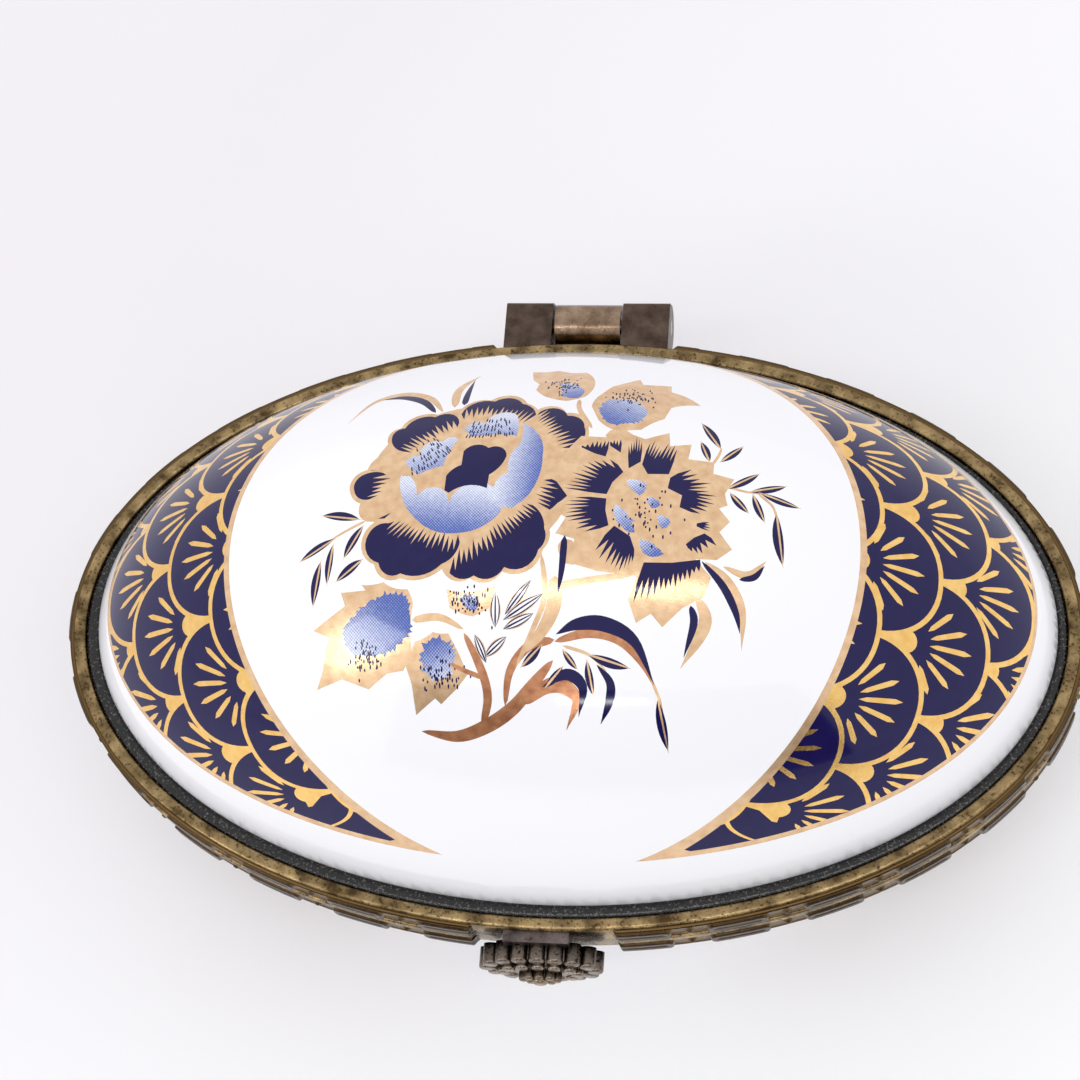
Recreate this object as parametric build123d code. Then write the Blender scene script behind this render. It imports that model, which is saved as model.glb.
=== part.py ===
from build123d import *
import math
import os

# A small oval porcelain trinket box: a footed bowl and a domed lid, each cemented into a cast
# bronze rim, joined by a three-knuckle hinge at the back and closed by a rosette clasp in front.
# Millimetres. +Z up, +Y towards the hinge, origin at the middle of the foot's underside.

# ---- driving dimensions ----
RIM_A, RIM_B = 35.0, 21.56            # half length and half width of the metal rims
SEAM_Z = 17.0                         # where the lid's rim rests on the base's rim
LID_RIM_TALL, BASE_RIM_TALL = 2.1, 2.1
RIM_WALL = 0.88                       # thickness of the upright part of a rim
RIM_SHELF = 3.4                       # how far the flat part of a rim reaches in
SHELF_THICK = 0.7
LIP_TALL, LIP_OUT = 0.35, 0.37        # the bright edge on each side of the seam

CHINA_A, CHINA_B = 33.33, 19.97       # half length and half width of the porcelain at the rim
CHINA_WALL = 1.8
LID_SET_X, LID_SET_Y = 0.12, 0.2      # the lid's porcelain sits a little off the rim's middle
DOME_LOW = 0.19                       # the dome starts this far below the rim's top
DOME_TALL, DOME_POWER = 19.73, 0.766
BOWL_TOP = 15.1                       # the bowl is upright above this height
BOWL_FLOOR = 3.4
BOWL_POWER = 0.42
FOOT_SHARE, FOOT_FLARE = 0.66, 0.9    # the foot's neck as a share of the bowl, and its flare

STRIP_OUT = 0.18                      # backing of the ornament strip, from the rim's wall
LID_BAR_OUT, BASE_BAR_OUT = 0.42, 0.5
BAR_LONG, DOT_WIDE = 4.1, 0.62
BAR_REPEATS = 28                      # bars and dots once round, the clasp and hinge included
HINGE_CLEAR, CLASP_CLEAR = 6.35, 4.7  # half lengths of rim left bare at the back and in front

PIN_Y = 23.85                         # hinge axis, at the height of the seam
KNUCKLE_R, BARREL_R = 1.68, 1.65
LUG_IN, LUG_OUT = 2.55, 5.97          # inner and outer ends of a lug along X
BARREL_HALF = 2.38
PIN_R, PIN_PLAY = 0.55, 0.04

TAB_BACK, TAB_THICK, TAB_HALF = 21.9, 0.4, 2.2
TAB_LOW = 13.4
CLASP_X = -0.4                        # the clasp sits a little left of the middle
ROSETTE_BACK, ROSETTE_Z = 21.95, 15.2
FLUTE_R, FLUTE_LONG = 0.56, 1.45
KEEPER_R, KEEPER_HALF, KEEPER_Z = 0.3, 1.2, 16.0

LID_TOP = SEAM_Z + LID_RIM_TALL
BASE_LOW = SEAM_Z - BASE_RIM_TALL
DOME_Z = LID_TOP - DOME_LOW


def oval(half_long, half_wide, low, high, x=0, y=0):
    """An upright oval prism from one height to another."""
    return Pos(x, y, low) * extrude(Ellipse(half_long, half_wide), high - low)


def rim_oval(out, low, high):
    """The rim's own oval, grown outward by out (or inward when it is negative)."""
    return oval(RIM_A + out, RIM_B + out, low, high)


def block(x, y, z):
    """A box between two values along each axis."""
    size = (x[1] - x[0], y[1] - y[0], z[1] - z[0])
    middle = ((x[0] + x[1]) / 2, (y[0] + y[1]) / 2, (z[0] + z[1]) / 2)
    return Pos(*middle) * Box(*size)


def dome_profile(half_long, rise, power, first=0.0, steps=14):
    """Points of a dome's profile from first (0 is its top) to its edge: the radius follows a
    sine and the height a cosine raised to twice the power."""
    swing = [first + (math.pi / 2 - first) * i / steps for i in range(steps + 1)]
    return [(half_long * math.sin(t), rise * max(math.cos(t), 0.0) ** (2 * power)) for t in swing]


def turned(outline, half_long, half_wide):
    """A closed profile in the XZ plane turned round Z, then narrowed to an oval."""
    round_solid = revolve(Plane.XZ * make_face(outline), Axis.Z)
    return scale(round_solid, by=(1, half_wide / half_long, 1))


def dome(half_long, half_wide, low, start, rise):
    """A solid dome on an upright skirt: the skirt from low to start, the dome above it."""
    top = [Vector(r, start + h) for r, h in dome_profile(half_long, rise, DOME_POWER)]
    curve = Spline(*top, tangents=[(1, 0), (0, -1)])
    walls = Polyline((half_long, start), (half_long, low), (0, low), (0, start + rise))
    return turned(curve + walls, half_long, half_wide)


def lid_porcelain():
    inner_a, inner_b = CHINA_A - CHINA_WALL, CHINA_B - CHINA_WALL
    low = SEAM_Z + SHELF_THICK
    outside = dome(CHINA_A, CHINA_B, low, DOME_Z, DOME_TALL)
    inside = dome(inner_a, inner_b, low - 1, DOME_Z, DOME_TALL - CHINA_WALL)
    return Pos(LID_SET_X, LID_SET_Y) * (outside - inside)


def base_porcelain():
    high = SEAM_Z - SHELF_THICK
    inner_a, inner_b = CHINA_A - CHINA_WALL, CHINA_B - CHINA_WALL
    depth = BOWL_TOP - CHINA_WALL / 2
    foot_angle = math.asin(FOOT_SHARE)
    profile = dome_profile(CHINA_A, depth, BOWL_POWER, foot_angle)
    belly = [Vector(r, BOWL_TOP - h) for r, h in profile]
    curve = Spline(*belly, tangents=[(1, 0.35), (0, 1)])
    foot_r = CHINA_A * FOOT_SHARE
    neck = Spline((foot_r + FOOT_FLARE, 0.5), (foot_r + 0.1, 2.2), belly[0],
                  tangents=[(-0.4, 1), (1, 0.9)])
    walls = Polyline((CHINA_A, BOWL_TOP), (CHINA_A, high), (0, high), (0, -1),
                     (foot_r + FOOT_FLARE - 1.5, -1), (foot_r + FOOT_FLARE, 0.5))
    outside = turned(curve + neck + walls, CHINA_A, CHINA_B)
    outside -= block((-RIM_A, RIM_A), (-RIM_B, RIM_B), (-2, 0))     # ground flat to stand on

    profile = dome_profile(inner_a, BOWL_TOP - BOWL_FLOOR, BOWL_POWER)
    hollow = [Vector(r, BOWL_TOP - h) for r, h in profile]
    curve = Spline(*hollow, tangents=[(1, 0), (0, 1)])
    walls = Polyline((inner_a, BOWL_TOP), (inner_a, high + 1), (0, high + 1), (0, BOWL_FLOOR))
    return outside - turned(curve + walls, inner_a, inner_b)


def rim(low, high, shelf_low, lip_low):
    """A cast rim: upright band, flat shelf under the porcelain, and a lip at the seam."""
    band = rim_oval(0, low, high)
    lip = rim_oval(LIP_OUT, lip_low, lip_low + LIP_TALL) - bare_places(lip_low - 1, lip_low + 2)
    shelf_high = shelf_low + SHELF_THICK
    above = rim_oval(-RIM_WALL, shelf_high, high + 1)
    below = rim_oval(-RIM_WALL, low - 1, shelf_low)
    return band + lip - above - below - rim_oval(-RIM_SHELF, shelf_low - 1, shelf_high + 1)


def bare_places(low, high):
    """Blocks over the stretches of rim that carry no ornament: at the hinge and the clasp."""
    behind = block((-HINGE_CLEAR, HINGE_CLEAR), (RIM_B / 2, RIM_B * 2), (low, high))
    front = block((-CLASP_CLEAR, CLASP_CLEAR), (-RIM_B * 2, -RIM_B / 2), (low, high))
    return (behind + front) - rim_oval(0, low, high)


def stations(half_long, half_wide, count, shift=0.0):
    """Evenly spaced places round an oval from its front middle: position and heading."""
    fine = 7200
    turn = [-math.pi / 2 + 2 * math.pi * i / fine for i in range(fine + 1)]
    spots = [(half_long * math.cos(t), half_wide * math.sin(t)) for t in turn]
    walked = [0.0]
    for a, b in zip(spots, spots[1:]):
        walked.append(walked[-1] + math.dist(a, b))
    found, i = [], 0
    for k in range(count):
        while walked[i] < walked[-1] * (k + shift) / count:
            i += 1
        t = turn[i]
        heading = math.degrees(math.atan2(half_wide * math.cos(t), -half_long * math.sin(t)))
        found.append((*spots[i], heading))
    return found


def gallery(low, high, bar_out, bar_gap):
    """The ornament strip round a rim: a thin backing with rounded bars and small dots on it."""
    backing = rim_oval(STRIP_OUT, low, high)
    tall = high - low - 2 * bar_gap
    bar = extrude(Plane.XZ * RectangleRounded(BAR_LONG, tall, 0.45), 3, both=True)
    dot = extrude(Plane.XZ * Circle(DOT_WIDE / 2), 3, both=True)
    stamps = []
    for stamp, shift in ((bar, 0.0), (dot, 0.5)):
        for x, y, heading in stations(RIM_A, RIM_B, BAR_REPEATS, shift):
            stamps.append(Pos(x, y, (low + high) / 2) * Rot(0, 0, heading) * stamp)
    raised = rim_oval(bar_out, low, high) & Compound(children=stamps)
    bare = bare_places(low - 1, high + 1)
    return backing + raised.solids() - rim_oval(0, low - 1, high + 1) - bare


def cement(low, high, x=0, y=0):
    """The black filling between a rim's wall and the porcelain."""
    ring = rim_oval(-RIM_WALL, low, high)
    return ring - oval(CHINA_A, CHINA_B, low - 1, high + 1, x, y)


def knuckle(radius, ends, web_z):
    """A hinge knuckle round the pin's axis, with a web that reaches in to the rim."""
    upright = Plane.YZ * Pos(PIN_Y, SEAM_Z)
    body = extrude(upright * Circle(radius), ends[1] - ends[0])
    web = block((0, ends[1] - ends[0]), (RIM_B - 1.2, PIN_Y), web_z)
    return Pos(ends[0]) * (body + web) - rim_oval(0, SEAM_Z - 4, SEAM_Z + 4)


def pin_bore(radius):
    return extrude(Plane.YZ * Pos(PIN_Y, SEAM_Z) * Circle(radius), 2 * LUG_OUT, both=True)


def hinge_lug(ends):
    """A lid knuckle: its flat top runs level from the rim to a softly rounded far corner."""
    top = SEAM_Z + KNUCKLE_R
    lug = knuckle(KNUCKLE_R, ends, (SEAM_Z + 0.05, top))
    corner = block(ends, (PIN_Y - 0.5, PIN_Y + KNUCKLE_R - 0.35), (SEAM_Z + 0.3, top))
    far_edges = corner.edges().filter_by(Axis.X).group_by(Axis.Y)[-1]
    corner = fillet(far_edges.sort_by(Axis.Z)[-1], 0.5)
    return lug + corner - pin_bore(PIN_R)


def hinge_barrel():
    web_z = (SEAM_Z - BARREL_R, SEAM_Z - 0.1)
    barrel = knuckle(BARREL_R, (-BARREL_HALF, BARREL_HALF), web_z)
    return barrel - pin_bore(PIN_R + PIN_PLAY)


def hinge_pin():
    return extrude(Plane.YZ * Pos(PIN_Y, SEAM_Z) * Circle(PIN_R), LUG_OUT, both=True)


def clasp_tab():
    """The tongue: soldered to the lid's rim, it hangs in front of the base's rim."""
    front = -TAB_BACK - TAB_THICK
    width = (CLASP_X - TAB_HALF, CLASP_X + TAB_HALF)
    foot = block(width, (front, -RIM_B / 2), (SEAM_Z + 0.1, LID_TOP - 0.45))
    foot = foot - rim_oval(0, SEAM_Z - 1, LID_TOP + 1)
    tongue = block(width, (front, -TAB_BACK), (TAB_LOW, LID_TOP - 0.45))
    return foot + tongue


def lobes(half_long, half_wide, count, radius, deep, soft):
    """Rods along Y, evenly spaced round an oval, with softened front ends."""
    rod = Cylinder(radius, deep)
    rod = fillet(rod.edges().group_by(Axis.Z)[-1], soft)
    rod = Pos(0, -deep / 2, 0) * Rot(90, 0, 0) * rod
    return [Pos(x, 0, z) * rod for x, z, _ in stations(half_long, half_wide, count)]


def plate(half_long, half_wide, deep):
    return extrude(Plane.XZ * Ellipse(half_long, half_wide), deep)


def clasp_rosette():
    """An oval rosette in two tiers, each edged with rounded flutes; the tab is let into it."""
    outer_long, outer_wide = 3.65, 2.4
    flutes = lobes(outer_long, outer_wide, 16, FLUTE_R, FLUTE_LONG, 0.22)
    inner_deep = FLUTE_LONG + 0.28
    petals = lobes(2.55, 1.5, 12, 0.46, inner_deep, 0.2)
    rosette = plate(outer_long, outer_wide, FLUTE_LONG - 0.25) + flutes
    rosette = rosette + plate(2.6, 1.55, inner_deep - 0.15) + petals
    return Pos(CLASP_X, -ROSETTE_BACK, ROSETTE_Z) * rosette - clasp_tab()


def clasp_rivet():
    """The boss that holds the rosette to its tab: a round head in a ring of small knobs."""
    face = ROSETTE_BACK + FLUTE_LONG + 0.13
    head = Cylinder(0.55, 0.8)
    head = fillet(head.edges().group_by(Axis.Z)[-1], 0.3)
    head = Pos(0, -0.4, 0) * Rot(90, 0, 0) * head
    knobs = lobes(1.12, 0.66, 8, 0.34, 0.6, 0.2)
    return Pos(CLASP_X, -face, ROSETTE_Z) * (plate(1.12, 0.66, 0.4) + knobs + head)


def catch_keeper():
    """A half-round bar on the base's rim that the tab clips over."""
    rod = extrude(Plane.YZ * Pos(-RIM_B + 0.06, KEEPER_Z) * Circle(KEEPER_R), KEEPER_HALF, both=True)
    return Pos(CLASP_X) * rod - rim_oval(0, KEEPER_Z - 1, KEEPER_Z + 1)


lid_lip, base_lip = SEAM_Z, SEAM_Z - LIP_TALL
nodes = {
    "base_porcelain": base_porcelain(),
    "base_frame": rim(BASE_LOW, SEAM_Z, SEAM_Z - SHELF_THICK, base_lip),
    "base_gallery": gallery(BASE_LOW, base_lip, BASE_BAR_OUT, 0.1),
    "base_cement": cement(BASE_LOW + 0.1, SEAM_Z - SHELF_THICK),
    "catch_keeper": catch_keeper(),
    "hinge_barrel": hinge_barrel(),
    "lid_porcelain": lid_porcelain(),
    "lid_frame": rim(SEAM_Z, LID_TOP, SEAM_Z, lid_lip),
    "lid_gallery": gallery(SEAM_Z + LIP_TALL, LID_TOP - 0.15, LID_BAR_OUT, 0.1),
    "lid_cement": cement(SEAM_Z + SHELF_THICK, DOME_Z, LID_SET_X, LID_SET_Y),
    "hinge_lug_left": hinge_lug((-LUG_OUT, -LUG_IN)),
    "hinge_lug_right": hinge_lug((LUG_IN, LUG_OUT)),
    "hinge_pin": hinge_pin(),
    "clasp_tab": clasp_tab(),
    "clasp_rosette": clasp_rosette(),
    "clasp_rivet": clasp_rivet(),
}

os.makedirs("parts", exist_ok=True)
for name, shape in nodes.items():
    shape.label = name
    export_step(shape, f"parts/{name}.step")
    box = shape.bounding_box()
    print(name, len(shape.solids()), "solid(s)", round(shape.volume, 1), "mm3", box.min, box.max)
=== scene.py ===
import cmath
import math
import random

import bpy
from mathutils import Matrix, Vector
from mathutils.geometry import delaunay_2d_cdt


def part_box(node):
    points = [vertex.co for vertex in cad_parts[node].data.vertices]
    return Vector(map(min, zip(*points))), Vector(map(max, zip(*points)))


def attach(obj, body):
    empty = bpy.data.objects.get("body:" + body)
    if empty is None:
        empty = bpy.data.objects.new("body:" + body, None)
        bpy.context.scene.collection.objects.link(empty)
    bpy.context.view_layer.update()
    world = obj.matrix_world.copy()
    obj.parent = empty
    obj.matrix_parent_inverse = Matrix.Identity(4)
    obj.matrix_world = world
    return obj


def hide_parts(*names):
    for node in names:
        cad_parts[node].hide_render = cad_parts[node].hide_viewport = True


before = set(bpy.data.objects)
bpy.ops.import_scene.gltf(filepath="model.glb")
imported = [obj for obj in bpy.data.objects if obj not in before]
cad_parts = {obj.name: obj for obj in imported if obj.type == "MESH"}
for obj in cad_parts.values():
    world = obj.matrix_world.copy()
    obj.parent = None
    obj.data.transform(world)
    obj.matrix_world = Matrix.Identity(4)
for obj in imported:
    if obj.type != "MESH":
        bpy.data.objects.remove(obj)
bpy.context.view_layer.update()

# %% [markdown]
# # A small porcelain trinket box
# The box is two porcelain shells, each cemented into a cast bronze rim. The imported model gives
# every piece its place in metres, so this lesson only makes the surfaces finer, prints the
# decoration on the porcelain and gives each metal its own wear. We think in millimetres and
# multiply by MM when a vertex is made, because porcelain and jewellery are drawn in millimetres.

MM = 0.001
bpy.context.scene.view_settings.view_transform = "Standard"

# %% [markdown]
# ## Sums on sockets
# A shader is a graph, but a sum is easier to read than a graph. This small class holds one
# output socket and answers to +, - and *, from either side, so a mask can be written like a
# formula. Colours go through the Mix node, because a Math node would turn them grey. Every other
# node comes from the one method `node`, which takes the kind, its settings and then its values.

# %% A wire that does sums
class Wire:
    """An output socket that takes part in arithmetic."""

    def __init__(self, tree, socket=None):
        self.tree = tree
        self.socket = socket

    def node(self, kind, settings=None, values=None, out=0):
        made = self.tree.nodes.new(kind)
        for name, value in (settings or {}).items():
            if name == "stops":
                self.set_stops(made.color_ramp, value)
            else:
                setattr(made, name, value)
        for key, value in (values or {}).items():
            if isinstance(value, Wire):
                self.tree.links.new(value.socket, made.inputs[key])
            else:
                made.inputs[key].default_value = value
        return Wire(self.tree, made.outputs[out])

    def set_stops(self, ramp, stops):
        while len(ramp.elements) < len(stops):
            ramp.elements.new(0.5)
        for element, (place, level) in zip(ramp.elements, stops):
            element.position = place
            element.color = (level, level, level, 1)

    def maths(self, operation, a, b=0.0):
        return self.node("ShaderNodeMath", {"operation": operation}, {0: a, 1: b})

    def __add__(self, other):
        return self.maths("ADD", self, other)

    def __sub__(self, other):
        return self.maths("SUBTRACT", self, other)

    def __rsub__(self, other):
        return self.maths("SUBTRACT", other, self)

    def __mul__(self, other):
        return self.maths("MULTIPLY", self, other)

    __radd__ = __add__
    __rmul__ = __mul__

    def ramp(self, *stops):
        return self.node("ShaderNodeValToRGB", {"stops": stops}, {"Fac": self})

    def mix(self, low, high):
        """This mask blends two colours."""
        return self.node("ShaderNodeMix", {"data_type": "RGBA"}, {0: self, 6: low, 7: high}, 2)

    def place(self):
        return self.node("ShaderNodeTexCoord", out=3)

    def along(self, axis):
        """How far along an axis the spot lies, in metres: 0 is X, 1 is Y and 2 is Z."""
        return self.node("ShaderNodeSeparateXYZ", {}, {0: self.place()}, axis)

    def tone(self):
        """The mesh's own `tone`: how deep a blue is, or how far a casting stands out."""
        return self.node("ShaderNodeAttribute", {"attribute_name": "tone"}, {}, 2)

    def noise(self, per_mm, detail=3.0):
        """Cloudy noise with per_mm patches to a millimetre."""
        values = {"Vector": self.place(), "Scale": per_mm / MM, "Detail": detail}
        return self.node("ShaderNodeTexNoise", {}, values)

    def bump(self, height, deep_mm, strength=1.0):
        values = {"Height": height, "Distance": deep_mm * MM, "Strength": strength}
        return self.node("ShaderNodeBump", {}, values)


def shade(level):
    """A colour from three 0 to 255 screen values."""
    return tuple(((v / 255 + 0.055) / 1.055) ** 2.4 if v > 10 else v / 255 / 12.92 for v in level) + (1,)


def finish(name, draw, **fixed):
    """A material: draw wires up what varies, the fixed values go straight on the sockets."""
    material = bpy.data.materials.new(name)
    material.use_nodes = True
    tree = material.node_tree
    shader = tree.nodes["Principled BSDF"]
    for socket, value in fixed.items():
        shader.inputs[socket.replace("_", " ")].default_value = value
    for socket, wire in draw(Wire(tree)).items():
        tree.links.new(wire.socket, shader.inputs[socket])
    return material


print("a screen grey of 128 in Blender's own colours:", round(shade((128,))[0], 3))

# %% [markdown]
# ## The porcelain colours
# White porcelain is a bright, slightly cool clay under a clear glaze. A low roughness and a very
# faint bump give the slow ripple that a real glaze has. Cobalt reflects a little less than the
# glaze does, so that it stays deep, and the sky blue is dotted. The gilding is burnished but never
# quite even. On the flowers it is thin, so it is only partly metallic.

# %% Glaze, cobalt, sky blue and gilding
def glaze_white(w):
    cloud = w.noise(0.05, 2)
    return {
        "Base Color": cloud.mix(shade((247, 247, 252)), shade((252, 252, 254))),
        "Roughness": w.noise(0.3) * 0.03 + 0.045,
        "Normal": w.bump(w.noise(0.12, 1), 0.02),
    }


def cobalt_print(w):
    cloud = w.noise(1.2, 4)
    return {
        "Base Color": cloud.mix(shade((21, 15, 66)), shade((30, 24, 82))),
        "Roughness": w.noise(6) * 0.05 + 0.05,
        "Normal": w.bump(w.noise(0.12, 1), 0.02),
    }


def sky_print(w):
    """Pale to deep blue, put down as a fine canvas of dots like an old litho transfer."""
    dot_pitch = 0.2 * MM
    waves = 2 * math.pi / dot_pitch
    dots = w.maths("SINE", w.along(0) * waves) * w.maths("SINE", w.along(1) * waves)
    ink = (w.tone() * 0.7 + dots * 0.28 + w.noise(4, 2) * 0.3 + 0.05).ramp((0.05, 0), (0.85, 1))
    return {
        "Base Color": ink.mix(shade((238, 242, 252)), shade((74, 98, 176))),
        "Roughness": w.noise(6) * 0.05 + 0.06,
    }


def gilding(light, dark):
    def draw(w):
        worn = w.noise(1.6, 5).ramp((0.35, 0), (0.7, 1))
        return {
            "Base Color": worn.mix(shade(light), shade(dark)),
            "Roughness": w.noise(5) * 0.16 + 0.13,
            "Normal": w.bump(w.noise(9, 2), 0.004),
        }
    return draw


def biscuit(w):
    return {
        "Base Color": w.noise(1.5).mix(shade((236, 232, 224)), shade((222, 216, 206))),
        "Roughness": w.noise(3) * 0.1 + 0.7,
    }


paints = {
    "glaze": finish("white_glaze", glaze_white, IOR=1.5),
    "cobalt": finish("cobalt_print", cobalt_print, IOR=1.36),
    "sky": finish("sky_blue_print", sky_print, IOR=1.5),
    "gold": finish("gold_print", gilding((238, 203, 162), (218, 178, 136)), Metallic=0.6),
    "leaf_gold": finish("scale_gold", gilding((254, 212, 134), (244, 194, 112)), Metallic=1.0),
    "copper": finish("stem_gold", gilding((212, 150, 108), (172, 112, 78)), Metallic=0.5),
    "biscuit": finish("bare_biscuit", biscuit),
}
print("porcelain paints:", ", ".join(paints))

# %% [markdown]
# ## The shape of a shell
# Seen from above each shell is an oval, and its height falls away from the middle as a power of
# one minus the squared distance. One formula then gives every height and every normal, so the
# decoration can be drawn flat, in plan, and laid on the dome exactly.

# %% A shell from its formula
class Shell:
    """An oval dome (rise above 0) or bowl (rise below 0), in millimetres."""

    def __init__(self, middle, half_long, half_wide, edge, rise, power):
        self.middle = middle
        self.half = (half_long, half_wide)
        self.edge = edge
        self.rise = rise
        self.power = power

    def inside(self, x, y):
        across = (x - self.middle[0]) / self.half[0]
        along = (y - self.middle[1]) / self.half[1]
        return max(1 - across ** 2 - along ** 2, 0.0)

    def point(self, x, y):
        return Vector((x, y, self.edge + self.rise * self.inside(x, y) ** self.power))

    def normal(self, x, y):
        """Leaning outward; upright on a dome's top, hanging under a bowl."""
        steep = 2 * abs(self.rise) * self.power
        level = max(self.inside(x, y), 1e-9) ** (1 - self.power)
        lean_x = steep * (x - self.middle[0]) / self.half[0] ** 2
        lean_y = steep * (y - self.middle[1]) / self.half[1] ** 2
        return Vector((lean_x, lean_y, level if self.rise > 0 else -level)).normalized()

    def oval(self, share, count):
        """Points of the oval at a share of the shell's size."""
        ring = oval_ring(self.half[0] * share, self.half[1] * share, count)
        return [complex(*self.middle) + p for p in ring]


def corners(node):
    """A node's low and high corners in millimetres."""
    return [[v / MM for v in corner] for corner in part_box(node)]


lid_low, lid_high = corners("lid_porcelain")
base_top = corners("base_porcelain")[1][2]
seam = corners("lid_frame")[0][2]
dome_edge = corners("lid_cement")[1][2]
china_wall, dome_power, bowl_power = 1.8, 0.766, 0.42
half_long, half_wide = (lid_high[0] - lid_low[0]) / 2, (lid_high[1] - lid_low[1]) / 2
lid_middle = ((lid_high[0] + lid_low[0]) / 2, (lid_high[1] + lid_low[1]) / 2)
dome_tall = lid_high[2] - dome_edge
inner_long, inner_wide = half_long - china_wall, half_wide - china_wall
dome = Shell(lid_middle, half_long, half_wide, dome_edge, dome_tall, dome_power)
dome_inside = Shell(lid_middle, inner_long, inner_wide, dome_edge, dome_tall - china_wall, dome_power)
bowl_edge, bowl_floor, foot_share = 15.1, 3.4, 0.66
bowl = Shell((0, 0), half_long, half_wide, bowl_edge, china_wall / 2 - bowl_edge, bowl_power)
bowl_inside = Shell((0, 0), inner_long, inner_wide, bowl_edge, bowl_floor - bowl_edge, bowl_power)
print("dome: half sizes", round(half_long, 2), round(half_wide, 2), "rise", round(dome.rise, 2))

# %% [markdown]
# ## Drawing in plan
# A decorator draws with a few gestures: an arc, a leaf, a tapering stroke, a fringe of short
# hairs. Each helper below turns one gesture into a closed outline. Points are complex numbers,
# because turning and scaling a stroke is then a single multiplication.

# %% Gestures: arcs, leaves, strokes and fringes
def oval_ring(long, wide, count):
    """Points round an oval about the origin, anticlockwise from +X."""
    turns = [2 * math.pi * i / count for i in range(count)]
    return [complex(long * math.cos(t), wide * math.sin(t)) for t in turns]


def arc(a, b, bulge, steps=7):
    """From a towards b; bulge is the rise over half the chord, positive to the right."""
    if abs(bulge) < 0.01:
        return [a]
    turn = 4 * math.atan(bulge)
    centre = (a + b) / 2 + 1j * (b - a) / 2 / math.tan(turn / 2)
    return [centre + (a - centre) * cmath.exp(1j * turn * k / steps) for k in range(steps)]


def outline(*marks, closed=True):
    """Joins (x, y, bulge) marks with arcs; a mark without a bulge starts a straight side."""
    spots = [complex(m[0], m[1]) for m in marks]
    bulges = [m[2] if len(m) > 2 else 0 for m in marks]
    ends = spots[1:] + spots[:1] if closed else spots[1:]
    drawn = [p for a, b, bulge in zip(spots, ends, bulges) for p in arc(a, b, bulge)]
    return drawn if closed else drawn + [spots[-1]]


def leaf(base, tip, wide, bend=0.0):
    """A pointed leaf; bend pushes its middle to the right by a share of its length."""
    a, b = complex(*base), complex(*tip)
    swell, push = wide / abs(b - a), 2 * bend
    return arc(a, b, swell + push, 9) + arc(b, a, swell - push, 9)


def through(*spots, steps=6):
    """A smooth path through a few spots (Catmull-Rom)."""
    p = [complex(*s) for s in spots]
    p = [2 * p[0] - p[1], *p, 2 * p[-1] - p[-2]]
    path = []
    for a, b, c, d in zip(p, p[1:], p[2:], p[3:]):
        for k in range(steps):
            t = k / steps
            path.append(0.5 * (2 * b + (c - a) * t + (2 * a - 5 * b + 4 * c - d) * t * t
                               + (3 * b - a - 3 * c + d) * t ** 3))
    return path + [p[-2]]


def straight(a, b):
    """A straight path of seven spots."""
    return [a + (b - a) * k / 6 for k in range(7)]


def stroke(path, start_wide, end_wide=None, belly=0.0):
    """A brush stroke with rounded ends along a path; belly widens its middle."""
    end_wide = start_wide if end_wide is None else end_wide
    left, right = [], []
    for i, spot in enumerate(path):
        share = i / (len(path) - 1)
        ahead = path[min(i + 1, len(path) - 1)] - path[max(i - 1, 0)]
        wide = start_wide + (end_wide - start_wide) * share + belly * math.sin(math.pi * share)
        half = wide / 2 * math.sqrt(1 - (2 * share - 1) ** 6)
        side = 1j * ahead / abs(ahead) * max(half, 0.01)
        left.append(spot + side)
        right.append(spot - side)
    return right + left[::-1]


def swell(shape, by):
    """Pushes an outline outward from its own middle."""
    middle = sum(shape) / len(shape)
    return [p + by * (p - middle) / abs(p - middle) for p in shape]


def fringe(start, end, mid, heart, teeth, deep):
    """A hairy edge from start to end by way of mid, its hairs pointing at heart."""
    dice = random.Random(round(1000 * abs(start + end)))
    edge = []
    for k in range(2 * teeth + 1):
        t = k / (2 * teeth)
        spot = start * (1 - t) ** 2 + 2 * mid * t * (1 - t) + end * t * t
        inward = (heart - spot) / abs(heart - spot)
        reach = deep * dice.uniform(0.25, 0.8) if k % 2 else -deep * dice.uniform(0.5, 1.0)
        edge.append(spot + inward * reach if 0 < k < 2 * teeth else spot)
    return edge


def fringed(outer, mid, heart, teeth, deep):
    """A petal: a rounded outer edge, and a fringe back along its inner edge."""
    edge = outline(*outer, closed=False)
    return edge[:-1] + fringe(edge[-1], edge[0], complex(*mid), complex(*heart), teeth, deep)[:-1]


print("spots in the outline of a leaf:", len(leaf((0, 0), (0, 5), 1)))

# %% [markdown]
# ## A print is a stack of colours
# The transfer is printed colour over colour, and the last colour put down is the one that shows.
# `Print` keeps the outlines in that order. Some, such as the fish scales, are cut off at the edge
# of their panel, so a mark may name the panel that it stays within.

# %% The stack of printed marks
class Print:
    def __init__(self):
        self.marks = []

    def mark(self, paint, shape, within=None, tone=None):
        """tone is (pale spot, deep spot): how sky blue deepens across the mark."""
        pairs = zip(shape, shape[1:] + shape[:1])
        clockwise = sum((a.conjugate() * b).imag for a, b in pairs) < 0
        self.marks.append((paint, shape[::-1] if clockwise else shape, within, tone))
        return len(self.marks) - 1

    def top(self, found):
        """The last mark, of those found at a spot, that isn't cut off by its panel."""
        for i in sorted(found, reverse=True):
            within = self.marks[i][2]
            if within is None or within in found:
                return i
        return None


print("marks in a new print:", len(Print().marks))

# %% [markdown]
# ## Fish scales
# The two side panels are crescents between the rim and the white middle, filled with a fish-scale
# diaper: cobalt scales edged with gold that overlap inwards, a gold heart where each scale is
# tucked under its neighbours, and seven short rays. The scales of one column follow a slight bow,
# and the columns stand closer together towards the rim, where the dome turns away from us.

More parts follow.
